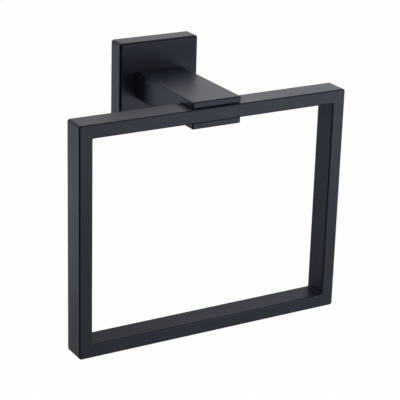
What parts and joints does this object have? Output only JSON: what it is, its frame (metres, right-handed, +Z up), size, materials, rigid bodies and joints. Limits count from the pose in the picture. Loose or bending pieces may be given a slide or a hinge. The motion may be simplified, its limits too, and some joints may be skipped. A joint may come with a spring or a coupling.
{
  "type": "towel ring",
  "caption": "Wall-mounted towel ring: a closed rectangular ring of flat bar, clamped in the forked end of a straight arm on a square flange, in satin black.",
  "frame": {"origin": "centre of the flange's back, on the wall", "axes": "+Y points into the wall, so the ring stands out along -Y; +Z is up and +X is to the right of someone facing the wall"},
  "size_m": [0.165, 0.078, 0.1536],
  "materials": {
    "black_coat": "satin black powder coat",
    "plated_bracket": "zinc plated",
    "screw_steel": "plain stainless"
  },
  "bodies": {
    "root": {"ring": "black_coat", "arm": "black_coat", "flange": "black_coat", "wall_bracket": "plated_bracket", "flange_grub_screw": "screw_steel", "ring_grub_screw": "screw_steel", "arm_screws": "screw_steel"}
  },
  "joints": []
}
